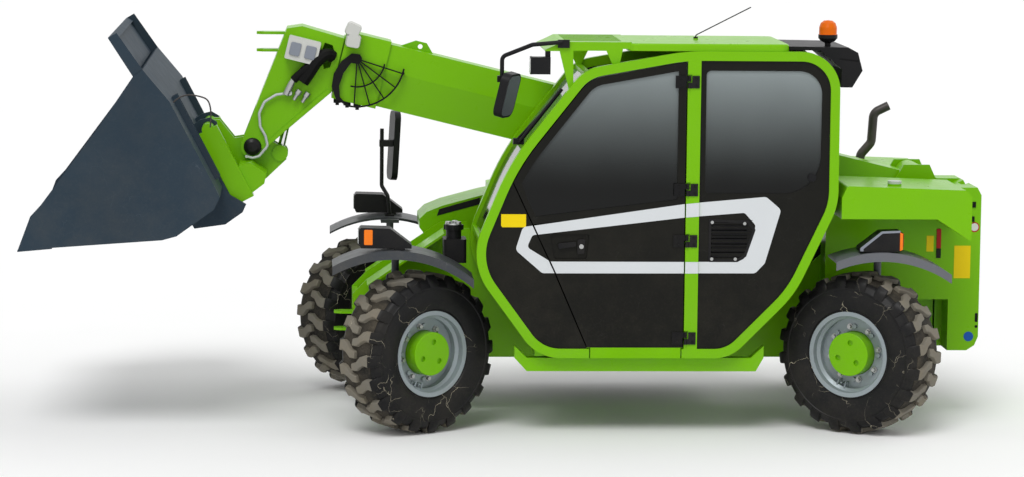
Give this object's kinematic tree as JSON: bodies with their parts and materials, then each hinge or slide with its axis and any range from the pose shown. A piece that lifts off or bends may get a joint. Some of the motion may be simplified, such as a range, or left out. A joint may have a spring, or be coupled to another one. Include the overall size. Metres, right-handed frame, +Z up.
{
  "type": "telescopic handler",
  "caption": "Compact telescopic handler with a side cab, central telescopic boom, four-wheel steering and a light-material bucket with a spill guard.",
  "frame": {"origin": "on the ground below the middle of the machine's length and width with its boom retracted", "axes": "+X forward, towards the bucket; +Y to the machine's left, where the cab is; +Z up"},
  "size_m": [5.056, 2.1506, 2.2058],
  "materials": {
    "lime_paint": "semi-gloss, dusty",
    "pale_plastic": "gloss",
    "dark_panel": "matte",
    "black_paint": "satin",
    "axle_paint": "satin, dusty",
    "fender_plastic": "matte",
    "lamp_plastic": "gloss",
    "amber_lens": "gloss",
    "rod_chrome": "polished",
    "exhaust_steel": "sooty",
    "seat_cover": "matte",
    "smoked_glass": "smoked",
    "bucket_paint": "satin, worn",
    "hose_rubber": "matte",
    "rim_paint": "satin, dusty",
    "tyre_rubber": "matte"
  },
  "bodies": {
    "chassis": {"chassis_frame": "lime_paint", "axle_beams": "axle_paint", "engine_block": "axle_paint", "engine_bay": "dark_panel", "rear_body": "lime_paint", "side_boxes": "lime_paint", "exhaust_pipe": "exhaust_steel", "front_tank": "black_paint", "cab_frame": "lime_paint", "cab_side_panels": "dark_panel", "cab_walls": "dark_panel", "cab_windows": "smoked_glass", "cab_roof": "lime_paint", "roof_rear_housing": "dark_panel", "beacon": "amber_lens", "mirrors": "black_paint", "cross_members": "lime_paint", "front_guards": "lime_paint", "cab_sill": "lime_paint", "cab_rails": "lime_paint", "cab_floor": "dark_panel", "seat": "seat_cover", "steering_wheel": "black_paint", "fenders": "fender_plastic", "fender_lamps": "lamp_plastic"},
    "engine_cover": {"engine_hood": "lime_paint"},
    "lower_door": {"door_lower": "dark_panel"},
    "upper_door": {"door_upper": "black_paint", "door_glass": "smoked_glass"},
    "boom_base": {"boom_outer": "lime_paint", "boom_lights": "pale_plastic"},
    "boom_extension": {"boom_inner": "lime_paint", "boom_head": "lime_paint", "socket_box": "pale_plastic", "lock_hose": "hose_rubber"},
    "lift_barrel": {"lift_cylinder": "axle_paint"},
    "lift_piston": {"lift_rod": "rod_chrome"},
    "tilt_barrel": {"tilt_cylinder": "axle_paint"},
    "tilt_piston": {"tilt_rod": "rod_chrome"},
    "tool_carriage": {"carriage": "lime_paint", "bucket": "bucket_paint"},
    "front_left_steering": {"front_left_knuckle": "axle_paint"},
    "front_left_wheel": {"front_left_tyre": "tyre_rubber", "front_left_rim": "rim_paint", "front_left_hub": "lime_paint"},
    "front_right_steering": {"front_right_knuckle": "axle_paint"},
    "front_right_wheel": {"front_right_tyre": "tyre_rubber", "front_right_rim": "rim_paint", "front_right_hub": "lime_paint"},
    "rear_left_steering": {"rear_left_knuckle": "axle_paint"},
    "rear_left_wheel": {"rear_left_tyre": "tyre_rubber", "rear_left_rim": "rim_paint", "rear_left_hub": "lime_paint"},
    "rear_right_steering": {"rear_right_knuckle": "axle_paint"},
    "rear_right_wheel": {"rear_right_tyre": "tyre_rubber", "rear_right_rim": "rim_paint", "rear_right_hub": "lime_paint"}
  },
  "joints": [
    {"name": "front_left_steer", "type": "hinge", "parent": "chassis", "child": "front_left_steering", "pos_m": [0.575, 0.58, 0.417], "axis": [0, 0, 1], "range_deg": [-74, 2]},
    {"name": "front_left_roll", "type": "hinge", "parent": "front_left_steering", "child": "front_left_wheel", "pos_m": [0.4663, 0.7297, 0.417], "axis": [-0.5878, 0.809, 0], "continuous": true},
    {"name": "front_right_steer", "type": "hinge", "parent": "chassis", "child": "front_right_steering", "pos_m": [0.575, -0.58, 0.417], "axis": [0, 0, 1], "range_deg": [-74, 2]},
    {"name": "front_right_roll", "type": "hinge", "parent": "front_right_steering", "child": "front_right_wheel", "pos_m": [0.6837, -0.7297, 0.417], "axis": [0.5878, -0.809, 0], "continuous": true},
    {"name": "rear_left_steer", "type": "hinge", "parent": "chassis", "child": "rear_left_steering", "pos_m": [-1.96, 0.58, 0.417], "axis": [0, 0, 1], "range_deg": [-2, 74]},
    {"name": "rear_left_roll", "type": "hinge", "parent": "rear_left_steering", "child": "rear_left_wheel", "pos_m": [-1.8513, 0.7297, 0.417], "axis": [0.5878, 0.809, 0], "continuous": true},
    {"name": "rear_right_steer", "type": "hinge", "parent": "chassis", "child": "rear_right_steering", "pos_m": [-1.96, -0.58, 0.417], "axis": [0, 0, 1], "range_deg": [-2, 74]},
    {"name": "rear_right_roll", "type": "hinge", "parent": "rear_right_steering", "child": "rear_right_wheel", "pos_m": [-2.0687, -0.7297, 0.417], "axis": [-0.5878, -0.809, 0], "continuous": true},
    {"name": "boom_lift", "type": "hinge", "parent": "chassis", "child": "boom_base", "pos_m": [-2.23, 0, 1.275], "axis": [0, -1, 0], "range_deg": [-15, 50]},
    {"name": "boom_telescope", "type": "slide", "parent": "boom_base", "child": "boom_extension", "axis": [0.9724, 0, 0.2334], "range_m": [0, 1.9]},
    {"name": "tool_tilt", "type": "hinge", "parent": "boom_extension", "child": "tool_carriage", "pos_m": [1.3247, 0, 1.4229], "axis": [0, 1, 0], "range_deg": [-35, 75]},
    {"name": "lift_barrel_swing", "type": "hinge", "parent": "chassis", "child": "lift_barrel", "pos_m": [-2.15, 0, 0.64], "axis": [0, -1, 0], "range_deg": [-14, 38]},
    {"name": "lift_rod_slide", "type": "slide", "parent": "lift_barrel", "child": "lift_piston", "axis": [0.9067, 0, 0.4218], "range_m": [-0.18, 0.475]},
    {"name": "tilt_barrel_swing", "type": "hinge", "parent": "boom_extension", "child": "tilt_barrel", "pos_m": [1.0496, 0, 1.9647], "axis": [0, 1, 0], "range_deg": [-6, 3]},
    {"name": "tilt_rod_slide", "type": "slide", "parent": "tilt_barrel", "child": "tilt_piston", "axis": [0.2171, 0, -0.9762], "range_m": [-0.15, 0.07]},
    {"name": "lower_door_hinge", "type": "hinge", "parent": "chassis", "child": "lower_door", "pos_m": [-0.915, 0.905, 0.76], "axis": [0, 0, 1], "range_deg": [0, 80]},
    {"name": "upper_door_hinge", "type": "hinge", "parent": "chassis", "child": "upper_door", "pos_m": [-0.915, 0.905, 1.55], "axis": [0, 0, 1], "range_deg": [0, 150]},
    {"name": "engine_cover_hinge", "type": "hinge", "parent": "chassis", "child": "engine_cover", "pos_m": [-0.45, -0.2, 1.24], "axis": [-1, 0, 0], "range_deg": [0, 60]}
  ],
  "couplings": [
    {"joint": "front_right_steer", "follows": "front_left_steer", "ratio": 1},
    {"joint": "rear_right_steer", "follows": "rear_left_steer", "ratio": 1},
    {"joint": "lift_barrel_swing", "follows": "boom_lift", "ratio": 0.74},
    {"joint": "lift_rod_slide", "follows": "boom_lift", "m_per_rad": 0.53858},
    {"joint": "tilt_barrel_swing", "follows": "tool_tilt", "ratio": -0.07},
    {"joint": "tilt_rod_slide", "follows": "tool_tilt", "m_per_rad": -0.10886}
  ]
}
